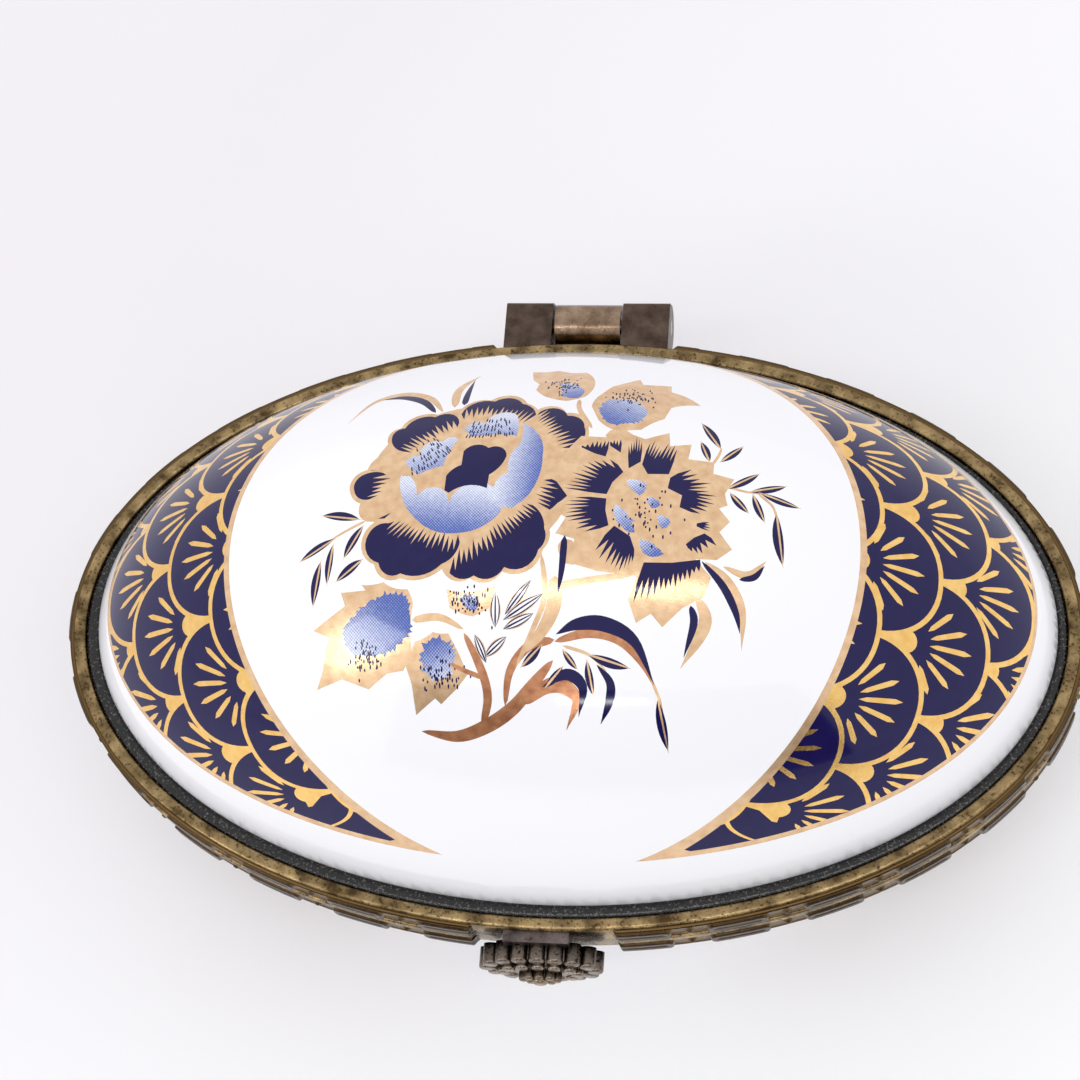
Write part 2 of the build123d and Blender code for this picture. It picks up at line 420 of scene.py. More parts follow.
# %% The crescent panels and their scales
medallion = (0.15, -0.04, 20.44, 18.75)
panel_edge = (0.27, 0.23, 31.71, 18.47)
# Each column: where its tips would be on the middle line, and 1 where its rows are half a scale on.
scale_columns = ((34.4, 1), (31.9, 0), (29.15, 1), (25.8, 0), (22.3, 1), (18.6, 0), (14.8, 1), (11.0, 0))
# Each ray: its angle in degrees, then how far from ray_start it begins and ends.
scale_rays = ((0, 1.1, 3.7), (21, 1.2, 3.6), (-21, 1.2, 3.6), (43, 1.3, 3.4), (-43, 1.3, 3.4),
              (66, 1.4, 3.2), (-66, 1.4, 3.2))
scale_half_long, scale_half_wide, scale_pitch, scale_fullness = 4.15, 4.5, 8.78, 2.2
horn_reach, bow_lean, bow_curl, row_shift = 16.5, 0.0175, 2.8e-5, 0.25
gold_border, gold_rim, gold_line, ray_start, ray_lean = 0.42, 0.2, 0.3, -0.75, math.radians(1.2)
scale_heart = ((-3.7, -.12), (-2.2, -.38), (-1.1, -1.25), (-.78, -1.25), (-.86, -.68, .6), (-.86, .68),
               (-.78, 1.25), (-1.1, 1.25), (-2.2, .38), (-3.7, .12))


def oval_at(place, turn):
    x, y, long, wide = place
    return complex(x + long * math.cos(turn), y + wide * math.sin(turn))


def is_in(place, spot):
    x, y, long, wide = place
    return ((spot.real - x) / long) ** 2 + ((spot.imag - y) / wide) ** 2 < 1


def panel_shape(edge, border=0.0, rim=0.0):
    """The right panel, drawn in by border from the medallion and by rim from its outer edge."""
    near = (medallion[0], medallion[1], medallion[2] + border, medallion[3] + border)
    far = (edge[0], edge[1], edge[2] - rim, edge[3] - rim)
    swing = [math.pi * (i / 120 - 0.5) for i in range(1, 120)]
    outer = [oval_at(far, turn) for turn in swing]
    inner = [oval_at(near, turn) for turn in reversed(swing)]
    return [p for p in outer if not is_in(near, p)] + [p for p in inner if is_in(far, p)]


def scale_shape(grow=0.0):
    """A superellipse, which is a little fuller than an oval."""
    shape = []
    for p in oval_ring(1, 1, 56):
        across = math.copysign(abs(p.real) ** (2 / scale_fullness), p.real)
        along = math.copysign(abs(p.imag) ** (2 / scale_fullness), p.imag)
        shape.append(complex((scale_half_long + grow) * across, (scale_half_wide + grow) * along))
    return shape


def bowed(spot):
    """The panel is drawn flat, then drawn in towards its two horns and bent round the medallion."""
    y = horn_reach * math.sin(max(min(spot.imag / horn_reach, 1.5), -1.5))
    return complex(spot.real - bow_lean * y * y - bow_curl * y ** 4, y - row_shift)


def fish_scales(design, side, edge):
    """Fills one crescent, outer columns first so that the inner ones lie over them."""
    def mark(paint, shape, within=None):
        mirrored = [complex(2 * medallion[0] - p.real, p.imag) for p in shape]
        return design.mark(paint, shape if side > 0 else mirrored, within)

    mark("gold", panel_shape(edge))
    panel = mark("cobalt", panel_shape(edge, gold_border, gold_rim))
    for apex, odd in scale_columns:
        for row in range(-2, 3):
            middle = complex(apex - scale_half_long, scale_pitch * (row + odd / 2))
            lean = ray_lean * max(-middle.imag, 0)
            parts = [("leaf_gold", scale_shape()), ("cobalt", scale_shape(-gold_line)),
                     ("leaf_gold", outline(*scale_heart))]
            for angle, near, far in scale_rays:
                way = cmath.exp(1j * (math.radians(angle) + lean))
                ray = straight(ray_start + way * near, ray_start + way * far)
                parts.append(("leaf_gold", stroke(ray, 0.28, 0.36)))
            for paint, shape in parts:
                mark(paint, [bowed(middle + p) for p in shape], panel)


lid_print = Print()
for side in (-1, 1):
    fish_scales(lid_print, side, panel_edge)
print("marks in the two panels:", len(lid_print.marks))

# %% [markdown]
# ## The bouquet
# The white middle carries a spray of two big flowers on copper-coloured stems, with gold leaves,
# blue leaf sprays and curling grasses. It is printed in the same order as a real transfer: first
# the gold ground of each flower and leaf, then cobalt petals whose fringed inner edge lets the
# gold through as fine hairs, then pale blue, and last the veins.

# %% The peony
peony_heart = (-3.9, 2.9)
peony_ground, peony_ground_size = complex(-3.8, 2.6), (6.8, 6.1)
hair_row, hair_long = 0.42, 0.34
# Each petal: its outer edge as (x, y, bulge) marks, then the middle of its fringed inner edge.
peony_petals = (
    (((-8.5, 4.9, -.35), (-9.5, 6.4, -.4), (-8.75, 7.0, -.45), (-6.85, 7.85, -.6), (-5.1, 7.15)),
     (-7.2, 6.1)),
    (((-5.1, 7.95, -.5), (-3.1, 9.15, -.5), (-1.2, 8.85, -.4), (-.15, 7.2)), (-2.4, 8.3)),
    (((.05, 8.0, -.6), (1.9, 7.7, -.45), (3.1, 6.7, -.4), (2.5, 4.85)), (.9, 6.7)),
    (((2.6, 4.8, -.3), (3.15, 3.9, -.2), (3.15, 2.9, .1), (1.8, 2.4)), (1.3, 3.7)),
    (((1.5, 2.4, -.1), (2.75, 1.5, -.1), (2.0, .7, -.1), (1.3, .05)), (.9, 1.3)),
    (((.5, .5, -.25), (1.3, -1.0, -.35), (1.0, -2.35, -.5), (-1.1, -3.45, -.45), (-3.0, -3.95, -.5),
      (-4.85, -3.3)), (-1.2, -1.3)),
    (((-4.0, -1.9, -.3), (-5.1, -3.2, -.3), (-7.8, -3.65, -.5), (-9.3, -2.9, -.5), (-10.1, -1.0, -.35),
      (-8.8, -.4)), (-6.6, -1.6)),
    (((-9.1, -.05, -.1), (-10.4, .2, -.4), (-10.6, 1.15)), (-9.4, .6)),
    (((-10.3, 1.4, -.4), (-11.45, 2.2, -.45), (-10.9, 3.35, -.2), (-9.6, 3.3)), (-9.4, 2.3)),
    (((-10.5, 3.6, -.4), (-9.75, 4.5, -.3), (-8.8, 4.35)), (-9.3, 3.6)),
)
# Each pale petal: its outline, then where it is palest and where it is deepest.
peony_blues = (
    (((-8.35, 2.95, .1), (-8.1, 1.4, .15), (-6.6, -.6, .2), (-4.2, -1.3, .25), (-1.5, .1, 1.0),
      (-4.95, .75, .8), (-7.1, 1.3, .2), (-7.7, 2.85)), ((-4.6, 2.0), (-5.0, -1.1))),
    (((-.85, 6.95, -.3), (.75, 4.2, -.15), (.3, 1.5, -.15), (-.9, .3, -.35), (-2.1, 1.3, -.35),
      (-1.3, 2.9, -.25), (-.8, 5.1, .1)), ((-1.9, 3.0), (.7, 2.7))),
    (((-4.65, 6.5, -.5), (-3.3, 6.95, -.6), (-1.35, 7.7, -.1), (-1.1, 5.8, .1), (-4.1, 5.8)),
     ((-3, 7.6), (-3, 4.8))),
    (((-8.2, 3.9, -.5), (-7.35, 4.4, -.6), (-5.9, 5.5, -.6), (-4.9, 5.6, .1), (-5.6, 3.5, .1),
      (-7.2, 2.9)), ((-7, 5.6), (-5.6, 2.0))),
)
peony_dark = ((-5.3, 1.65), (-5.3, 2.7, -.2), (-4.4, 3.5), (-4.4, 4.6, -.5), (-2.8, 4.8, -.6),
              (-1.55, 4.1, -.2), (-2.5, 2.7), (-2.55, 1.7, .3), (-5.0, 1.45))


def hatch(design, a, b, aim, count, rows):
    """Rows of short dark hairs along the line from a to b, each row nearer to aim and sparser."""
    dice = random.Random(count)
    for row in range(rows):
        for k in range(count):
            spot = a + (b - a) * (k + dice.uniform(0.2, 0.8)) / count
            way = (aim - spot) / abs(aim - spot)
            spot += way * (row * hair_row + dice.uniform(-0.15, 0.15))
            if dice.random() > row * 0.2:
                design.mark("cobalt", stroke(straight(spot, spot + way * hair_long), 0.12, 0.05))


def peony(design):
    design.mark("gold", [peony_ground + p for p in oval_ring(*peony_ground_size, 48)])
    for outer, _ in peony_petals:
        design.mark("gold", swell(outline(*outer, closed=False), gold_line))
    for outer, mid in peony_petals:
        width = abs(complex(*outer[0][:2]) - complex(*outer[-1][:2]))
        design.mark("cobalt", fringed(outer, mid, peony_heart, max(5, round(width * 3.2)), 0.75))
    for marks, tone in peony_blues:
        design.mark("sky", outline(*marks), tone=tone)
    hatch(design, -4.5 + 5.7j, -1.2 + 5.8j, -2.9 + 12j, 16, 4)
    hatch(design, -7.6 + 2.8j, -5.0 + 4.6j, -9 + 9j, 14, 5)
    design.mark("cobalt", outline(*peony_dark))


peony(lid_print)
print("marks with the peony:", len(lid_print.marks))

# %% The carnation
carnation_ground = (
    (7.0, 6.0), (8.45, 6.75), (8.6, 5.6), (9.9, 5.95), (9.8, 4.7), (11.4, 4.7), (11.4, 3.8), (12.7, 3.6),
    (12.2, 2.4), (12.4, 1.6), (11.9, 1.3), (12.6, .5), (12.0, -.3), (12.8, -1.3), (11.9, -2.1),
    (10.6, -2.2), (11.6, -3.2), (11.2, -4.4), (9.9, -5.2), (8.7, -6.4), (8.0, -5.7), (7.1, -6.3),
    (6.6, -5.0), (7.1, -3.6), (4.7, -3.5), (3.0, -3.1), (3.2, -1.6), (2.0, -1.3), (2.6, -.2), (1.6, .2),
    (2.6, 1.2), (1.7, 2.4), (2.9, 3.2), (2.2, 4.6), (3.0, 5.9), (4.6, 5.9), (5.4, 6.9), (6.2, 6.3))
# Each tuft: the line that its hairs grow from, the line that they reach, and their number.
carnation_tufts = (
    (((5.0, 1.5), (5.3, 2.4), (5.9, 3.2)), ((2.5, 1.65), (2.8, 2.6), (3.3, 3.9), (5.2, 4.2)), 11),
    (((5.25, -.6), (5.0, .4), (5.0, 1.2)), ((4.0, -1.2), (2.7, -.5), (2.5, .4), (2.8, 1.3)), 10),
    (((6.9, -2.0), (6.6, -1.2), (5.6, -.6)), ((6.9, -2.8), (6.2, -3.3), (5.3, -3.2), (4.4, -2.0)), 9),
    (((7.5, -2.75), (9.2, -2.6), (10.9, -2.2)), ((6.8, -5.0), (8.5, -4.6), (9.8, -3.8), (11.0, -2.8)), 13),
    (((10.0, -1.35), (10.5, -.85), (11.1, -.5)), ((10.3, -1.85), (11.0, -1.75), (12.0, -1.0)), 5),
    (((10.6, -.1), (10.6, .1)), ((11.4, -.4), (11.5, .4)), 4),
    (((9.5, 1.05), (9.6, 1.9), (8.7, 2.3), (8.8, 3.1)),
     ((10.8, .6), (11.7, 1.7), (11.4, 2.9), (9.8, 4.0)), 12),
    (((8.7, 3.35), (7.4, 3.2), (7.0, 3.9)), ((9.2, 5.6), (8.2, 5.6), (7.3, 6.0)), 9),
    (((6.9, 4.1), (6.2, 3.5)), ((6.9, 5.8), (6.4, 6.0), (5.95, 5.4)), 6),
    (((4.7, 4.3), (4.0, 4.5), (3.2, 4.9)), ((4.9, 5.6), (4.1, 5.7), (3.0, 5.0)), 7),
    (((5.6, 4.7), (4.9, 5.2)), ((5.6, 5.9), (4.8, 5.6)), 4))
carnation_blues = (
    (((6.15, 2.6, -.3), (7.4, 2.4, -.3), (7.0, 1.6, -.2)), ((6.2, 2.7), (7, 1.2))),
    (((7.5, 1.5, -.4), (8.3, 1.1, -.4), (7.8, .8, -.2)), ((7, 1.6), (8, .6))),
    (((8.2, .3, -.4), (9.0, .0, -.4), (8.5, -.5, -.2)), ((8, .6), (9, -.6))),
    (((5.6, .9, -.2), (6.9, -.9, -.4), (6.1, -.6, -.2), (5.55, .1, -.1)), ((5.5, 1.2), (6.8, -1.2))),
    (((7.2, -1.4, -.2), (8.7, -2.1, -.4), (7.4, -2.1, -.2)), ((7, -1), (8, -2.4))))


def spot_on(line, share):
    """The spot at a share of the way along a line of a few spots."""
    step = min(int(share * (len(line) - 1)), len(line) - 2)
    a, b = complex(*line[step]), complex(*line[step + 1])
    return a + (b - a) * (share * (len(line) - 1) - step)


def tuft(design, root, tips, hairs):
    """A cobalt tuft: solid by its root, then sharp ragged hairs out to its tips."""
    dice = random.Random(round(100 * abs(complex(*tips[0]))))
    ragged = []
    for k in range(2 * hairs + 1):
        share = 1 - k / (2 * hairs)
        reach = dice.uniform(0.85, 1.12) if k % 2 else dice.uniform(0.4, 0.6)
        base = spot_on(root, share)
        ragged.append(base + (spot_on(tips, share) - base) * reach)
    design.mark("cobalt", [complex(*spot) for spot in root] + ragged)


def bristled(shape, deep):
    """An outline with a short ragged hair at every step of its edge."""
    middle = sum(shape) / len(shape)
    dice = random.Random(len(shape))
    edge = []
    for a, b in zip(shape, shape[1:] + shape[:1]):
        steps = max(round(abs(b - a) / 0.14), 1)
        for k in range(steps):
            spot = a + (b - a) * k / steps
            out = (spot - middle) / abs(spot - middle)
            edge.append(spot + out * deep * dice.uniform(-0.5, 1) * (1 if k % 2 else 0.1))
    return edge


def speckle(design, x, y, wide, tall, count):
    """Fine printed dots, thick in the middle and thin at the edge."""
    dice = random.Random(round(x * 100 + y))
    for _ in range(count):
        spot = complex(x + wide * dice.gauss(0, 0.5), y + tall * dice.gauss(0, 0.5))
        long = dice.uniform(0.06, 0.16)
        design.mark("cobalt", [spot + p for p in oval_ring(0.06, long, 6)])


def carnation(design):
    design.mark("gold", outline(*carnation_ground))
    for root, tips, hairs in carnation_tufts:
        tuft(design, root, tips, hairs)
    for marks, tone in carnation_blues:
        design.mark("sky", bristled(outline(*marks), 0.35), tone=tone)
    speckle(design, 7.4, .3, 1.9, 2.2, 46)


carnation(lid_print)
print("marks with the carnation:", len(lid_print.marks))

# %% The gold leaves
# Each leaf: its gold ground, its blue middle, where the blue is palest and deepest, its speckles.
gold_leaves = (
    (((-1.3, 12.8), (-.4, 12.75), (.4, 13.0), (1.3, 12.7), (2.3, 12.8, -.2), (3.1, 11.4, -.2),
      (2.7, 9.7, -.1), (1.6, 9.2, -.1), (.2, 9.6, -.1), (-.6, 10.4), (-.5, 11.1), (-1.0, 11.6)),
     ((1.0, 11.3, -.2), (2.5, 10.6, -.3), (2.3, 9.6, -.3), (1.4, 9.7, -.2)),
     ((1.0, 11.8), (2.0, 9.4)), (1.1, 11.0)),
    (((4.3, 11.1), (5.9, 12.25), (6.2, 11.6), (8.0, 11.75), (8.1, 11.0, -.15), (10.1, 9.8, .15), (8.3, 9.2),
      (8.0, 8.0, .1), (6.7, 6.8), (5.2, 6.5, -.15), (3.9, 7.4), (3.3, 8.7, -.15), (3.6, 9.9)),
     ((3.9, 9.2, -.2), (5.4, 9.7, -.2), (6.8, 8.8, -.3), (6.6, 7.8, -.2), (5.0, 7.1, -.3), (4.3, 7.5, -.2)),
     ((6.2, 10.6), (4.6, 7.4)), (5.9, 9.9)),
    (((-6.9, -5.5, .1), (-7.3, -4.6, -.2), (-8.9, -4.1, -.1), (-10.4, -4.15), (-10.1, -4.5), (-11.8, -4.5),
      (-11.5, -5.3), (-13.7, -6.5), (-12.6, -7.0), (-12.9, -7.7), (-13.1, -8.7), (-13.6, -9.7),
      (-11.8, -9.3), (-10.0, -9.95), (-8.7, -9.2), (-7.6, -9.1), (-7.0, -8.2, -.1)),
     ((-11.4, -6.3), (-9.9, -5.2, -.2), (-7.5, -5.0, -.2), (-7.1, -6.6, -.3), (-8.3, -7.9, -.2),
      (-11.0, -8.0), (-11.7, -7.2)),
     ((-11.5, -8.8), (-8.2, -5.8)), (-10.2, -8.3)),
    (((-5.6, -7.1, -.1), (-6.8, -7.6, -.1), (-7.5, -8.7), (-7.1, -9.8), (-6.9, -11.4), (-5.6, -10.6),
      (-5.2, -10.9), (-4.1, -10.1), (-3.4, -9.4), (-4.0, -8.2), (-4.6, -7.2, -.1)),
     ((-6.1, -7.7, -.4), (-4.7, -7.7, -.4), (-4.4, -9.2, -.4), (-6.0, -9.4, -.4)),
     ((-4.8, -10), (-5.6, -7.6)), (-5.2, -9.4)),
    (((-4.75, -4.7, .1), (-3.0, -4.9), (-1.6, -4.6), (-1.9, -5.8), (-3.0, -6.3, -.1), (-4.5, -5.8)),
     ((-3.9, -5.2, -.3), (-2.7, -5.2, -.3), (-2.9, -6.0, -.3)),
     ((-3.5, -4.8), (-3.0, -6.2)), (-3.2, -5.5)))
for ground, blue, tone, dots in gold_leaves:
    lid_print.mark("gold", outline(*ground))
    lid_print.mark("sky", bristled(outline(*blue), 0.3), tone=tone)
    speckle(lid_print, *dots, 1.2, 0.9, 60)
print("marks with the gold leaves:", len(lid_print.marks))

# %% Stems, leaf sprays and grasses
# Each stroke: the spots it runs through, its width at the start and end, and its extra belly.
copper_stems = (
    (((-6.6, -12.2), (-4.3, -12.5), (-2.3, -12.0), (-.6, -11.1), (.7, -9.9), (2.0, -8.6)), .32, .5, .35),
    (((-1.1, -11.0), (-.7, -9.2), (.5, -7.9), (2.1, -7.5)), .35, .5, .1),
    (((-2.6, -12.0), (-2.2, -10.8), (-2.3, -9.8), (-2.8, -8.6), (-3.6, -7.2)), .5, .4, .1),
    (((-2.4, -9.6), (-3.6, -9.2), (-4.6, -8.8)), .3, .2, .0),
    (((.2, -10.9), (1.5, -10.0), (2.6, -9.9), (3.4, -10.6), (2.7, -12.1)), .4, .08, .6),
    (((2.1, -7.6), (4.2, -7.05), (6.0, -7.3), (7.4, -8.4), (8.4, -9.9)), .45, .08, .25))
gold_stalks = (
    (((.3, -8.2), (1.5, -6.8), (2.1, -5.4), (2.1, -3.9)), .4, .9, .2),
    (((-.3, -9.0), (.8, -6.9), (1.5, -5.0), (1.2, -2.6)), .3, .35, .0),
    (((2.1, -4.6), (4.0, -4.1), (7.0, -3.5)), .5, .35, .0),
    (((-7.0, -6.4), (-5.2, -6.3), (-3.6, -7.0)), .45, .2, .1),
    (((2.4, 9.4), (2.6, 8.3), (3.6, 6.6)), .3, .35, .0),
    (((5.0, 6.6), (4.7, 5.8)), .4, .6, .0),
    (((3.2, -3.2), (2.5, -1.6)), .9, .8, .3))
twig_paths = (
    ((12.1, 3.0), (13.4, 2.8), (14.6, 2.85)), ((14.2, 2.8), (15.1, 2.1), (15.4, 1.3)),
    ((-10.4, -.1), (-11.6, -.6), (-12.9, -1.2)), ((11.3, 4.5), (11.65, 5.4), (11.75, 6.0)),
    ((2.6, -7.8), (4.2, -8.2), (5.3, -9.0)), ((8.0, -9.2), (8.5, -10.2), (8.7, -11.0)))
twigs = tuple((path, .22, .12, 0) for path in twig_paths)
gold_grasses = (
    (((-6.4, 8.3), (-7.6, 9.9), (-9.6, 10.8), (-11.6, 10.4), (-13.1, 8.3)), .3, .05, .35),
    (((-5.7, 8.7), (-5.8, 10.7), (-4.75, 12.5)), .5, .03, .3),
    (((12.3, -2.45), (13.8, -2.75), (14.9, -1.7)), .2, .04, .35),
    (((11.2, -2.3), (12.6, -3.3), (13.5, -4.9), (13.5, -7.1)), .3, .05, .4),
    (((10.8, -4.5), (11.3, -5.6), (10.9, -6.8), (9.8, -8.5)), .5, .05, .5))
blue_grasses = (
    (((-6.9, 8.3), (-8.0, 9.6), (-9.6, 10.4), (-11.2, 10.5)), .35, .05, .3),
    (((-5.1, 8.9), (-5.1, 10.2), (-5.0, 11.9)), .45, .03, .15),
    (((13.3, -3.1), (14.2, -2.8), (14.8, -2.0)), .2, .04, .25),
    (((11.0, -2.3), (12.3, -3.6), (13.1, -5.0), (13.4, -6.2)), .25, .05, .35),
    (((10.4, -5.0), (10.6, -6.0), (10.0, -7.9)), .3, .05, .3),
    (((2.2, -7.2), (3.5, -6.6), (5.2, -6.5), (7.0, -7.3), (8.2, -9.5)), .15, .08, .75),
    (((1.3, -10.0), (2.8, -9.3), (3.8, -9.9), (3.5, -11.4)), .1, .05, .6),
    (((4.7, -8.7), (5.5, -9.6), (5.4, -10.6), (4.85, -11.7)), .15, .05, .45),
    (((2.6, -1.4), (2.5, -3.4), (2.3, -4.9)), .45, .1, .1))
# Each spray leaf: base, tip and width.
spray_leaves = (
    ((11.7, 5.9), (10.35, 8.0), .6), ((11.75, 4.8), (13.05, 6.4), .5), ((11.1, 4.7), (10.45, 6.3), .5),
    ((12.3, 2.8), (14.2, 4.35), .5), ((13.7, 2.85), (15.9, 3.75), .5), ((14.3, 2.9), (16.8, 2.3), .5),
    ((13.9, 2.7), (14.7, .85), .5), ((12.5, 2.55), (13.7, 1.3), .5), ((15.4, 1.6), (15.9, -1.8), .65),
    ((-10.8, .05), (-13.5, .65), .6), ((-12.4, -1.05), (-14.8, -2.25), .5),
    ((-12.5, -1.4), (-12.8, -3.9), .5), ((-10.5, -.4), (-11.7, -2.4), .6),
    ((-10.4, -2.6), (-12.15, -3.8), .6), ((-13.3, -2.4), (-13.75, -5.1), .6),
    ((2.6, -8.0), (3.5, -9.0), .4), ((4.1, -8.5), (4.45, -10.3), .5), ((4.2, -8.2), (6.7, -8.75), .55),
    ((8.4, -10.2), (8.95, -12.7), .6), ((.0, -9.0), (1.3, -7.8), .5), ((1.5, -10.0), (2.6, -8.9), .45))
outlined_leaves = (
    ((-1.6, -6.9), (-1.6, -4.9), .6), ((-1.0, -6.2), (.6, -4.2), .5), ((-1.1, -6.5), (1.4, -4.95), .55),
    ((-1.1, -7.0), (.8, -6.1), .5), ((-2.3, -8.5), (-.9, -7.4), .5), ((-2.2, -8.8), (-2.9, -7.3), .45))


def greenery(design):
    for paint, strokes in (("copper", copper_stems), ("gold", gold_stalks + twigs + gold_grasses),
                           ("cobalt", blue_grasses)):
        for path, start, end, belly in strokes:
            design.mark(paint, stroke(through(*path), start, end, belly))
    for base, tip, wide in spray_leaves:
        a, b = complex(*base), complex(*tip)
        design.mark("cobalt", leaf(base, tip, wide, 0.03))
        design.mark("gold", stroke(straight(a - (b - a) * 0.04, b + (b - a) * 0.04), 0.15, 0.08))
    for base, tip, wide in outlined_leaves:
        for paint, wider in (("gold", 0.12), ("cobalt", 0), ("glaze", -0.16)):
            design.mark(paint, leaf(base, tip, wide + wider))
        design.mark("cobalt", stroke(straight(complex(*base), complex(*tip)), 0.13, 0.06))


greenery(lid_print)
print("marks in the whole print:", len(lid_print.marks))

# %% [markdown]
# ## Laying the print on the shell
# A decal floating above a surface catches its own shadow, so the print is cut into the shell
# itself. Blender's constrained triangulation takes every outline at once, in plan, and tells us
# which outlines hold each triangle. We lift the corners onto the shell, hand out the triangles by
# colour, and give every corner the shell's own normal, so the shine runs on unbroken.

# %% Making meshes
def make_piece(name, body, points, faces, paint, normals=None, tones=None, sharp=None):
    """A mesh piece, its points in millimetres, that rides on a body of the box."""
    mesh = bpy.data.meshes.new(name)
    mesh.from_pydata([Vector(p) * MM for p in points], [], faces)
    mesh.materials.append(paint)
    mesh.shade_smooth()
    if tones:
        layer = mesh.attributes.new("tone", "FLOAT", "POINT")
        layer.data.foreach_set("value", tones)
    if normals:
        mesh.normals_split_custom_set_from_vertices(normals)
    if sharp:
        mesh.set_sharp_from_angle(angle=math.radians(sharp))
    piece = bpy.data.objects.new(name, mesh)
    bpy.context.collection.objects.link(piece)
    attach(piece, body)
    return piece


def tone_at(spot, tone):
    """0 at the tone's pale spot, 1 at its deep spot."""
    pale, deep = complex(*tone[0]), complex(*tone[1])
    along = ((spot - pale) * (deep - pale).conjugate()).real / abs(deep - pale) ** 2
    return min(max(along, 0.0), 1.0)


def lay_print(name, body, shell, design, rings):
    """Triangulates the print over the shell and makes one piece for each colour but "hole"."""
    spots, outlines = [], []
    for shape in [shell.oval(1.0, 300)] + [shape for _, shape, _, _ in design.marks]:
        outlines.append(list(range(len(spots), len(spots) + len(shape))))
        spots += [Vector((p.real, p.imag)) for p in shape]
    for i in range(1, rings):
        share = math.sin(math.pi / 2 * i / rings)
        spots += [Vector((p.real, p.imag)) for p in shell.oval(share, max(8, round(180 * share)))]
    flat, _, triangles, _, _, found = delaunay_2d_cdt(spots, [], outlines, 1, 1e-5, True)

    groups = {}
    for triangle, holders in zip(triangles, found):
        if 0 in holders:
            top = design.top([i - 1 for i in holders if i])
            paint = "glaze" if top is None else design.marks[top][0]
            groups.setdefault(paint, []).append((triangle, top))
    groups.pop("hole", None)
    order = 1 if shell.rise > 0 else -1
    for paint, members in groups.items():
        used = sorted({i for triangle, _ in members for i in triangle})
        number = {old: new for new, old in enumerate(used)}
        faces = [[number[i] for i in triangle][::order] for triangle, _ in members]
        tones = [0.0] * len(used)
        for triangle, top in members if paint == "sky" else []:
            for i in triangle:
                tones[number[i]] = tone_at(complex(*flat[i]), design.marks[top][3])
        make_piece(f"{name}_{paint}", body, [shell.point(*flat[i]) for i in used], faces,
                   paints[paint], [shell.normal(*flat[i]) for i in used], tones)
        print(name, paint, len(faces), "triangles")


lay_print("lid_print", "lid", dome, lid_print, 44)

# %% [markdown]
# ## The rest of the porcelain
# Below its printed face the dome has a short upright skirt that stands in the rim, and inside it
# is glazed white. The bowl is the same the other way up, on a low flared foot whose underside is
# left as bare biscuit, because glaze would stick to the kiln shelf. These are turned shapes: a
# profile carried round an oval.

# %% Turning a profile round an oval
def turned(name, body, profile, paint, middle=(0, 0)):
    """Carries (half length, half width, height) rows round an oval; zero size makes a pole.
    The rows run anticlockwise round the right-hand section, so that every face looks outward."""
    count, rings, points, faces = 180, [], [], []
    for long, wide, z in profile:
        ring = oval_ring(long, wide, count) if long else [0j]
        rings.append(range(len(points), len(points) + len(ring)))
        points += [(middle[0] + p.real, middle[1] + p.imag, z) for p in ring]
    for low, high in zip(rings, rings[1:]):
        for i in range(count):
            j = (i + 1) % count
            if len(low) == 1:
                faces.append((low[0], high[j], high[i]))
            elif len(high) == 1:
                faces.append((low[i], low[j], high[0]))
            else:
                faces.append((low[i], low[j], high[j], high[i]))
    return make_piece(name, body, points, faces, paint, sharp=35)


def shell_rows(shell, first, last):
    """Rows down a shell's profile between two turns: 0 is its middle, a quarter turn its edge."""
    rows, steps = [], 24
    for i in range(steps + 1):
        t = first + (last - first) * i / steps
        level = max(math.cos(t), 0.0) ** (2 * shell.power)
        share = math.sin(t) if t > 0 else 0
        rows.append((shell.half[0] * share, shell.half[1] * share, shell.edge + shell.rise * level))
    return rows


quarter = math.pi / 2
lid_rows = shell_rows(dome_inside, 0, quarter)
lid_rows += [(*dome_inside.half, lid_low[2]), (*dome.half, lid_low[2]), (*dome.half, dome_edge)]
lid_lining = turned("lid_lining", "lid", lid_rows, paints["glaze"], dome.middle)
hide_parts("lid_porcelain")

bowl_rows = [(*bowl.half, bowl_edge), (*bowl.half, base_top), (*bowl_inside.half, base_top)]
bowl_rows += shell_rows(bowl_inside, quarter, 0)
bowl_lining = turned("base_lining", "base", bowl_rows, paints["glaze"])
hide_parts("base_porcelain")
print("rows in the two linings:", len(lid_rows), len(bowl_rows))

# %% The foot and the bowl's own print
neck_long = half_long * foot_share
neck_z = bowl.edge + bowl.rise * (1 - foot_share ** 2) ** bowl.power
squeeze = half_wide / half_long
foot_path = through((neck_long + 0.9, 0.5), (neck_long + 0.1, 2.2), (neck_long, neck_z), steps=8)
foot_path = [complex(neck_long + 0.4, 0), complex(neck_long + 0.78, 0.2)] + foot_path
foot_rows = [(p.real, p.real * squeeze, p.imag) for p in foot_path]
turned("base_foot", "base", foot_rows, paints["glaze"])
turned("base_foot_sole", "base", [(0, 0, 0), foot_rows[0]], paints["biscuit"])

base_print = Print()
for side in (-1, 1):
    fish_scales(base_print, side, (0.0, 0.0, 31.9, 18.7))
base_print.mark("hole", bowl.oval(foot_share, 200))
lay_print("base_print", "base", bowl, base_print, 40)
print("foot neck", round(neck_long, 2), "mm half length, at height", round(neck_z, 2))

# %% [markdown]
# ## Cast bronze
# The rims, hinge and clasp are cast bronze that was darkened and then rubbed. On the clasp the
# hollows stay dark and the high places shine; on the strips it is the bars that are dark, over a
# golden ground. A shader can't feel the rubbing, but it can be told how far each point stands out:
# the strips carry that as the attribute `tone`, and on the clasp the place along Y does as well.
# Fine dark speckles are the pits that the patina stays in.

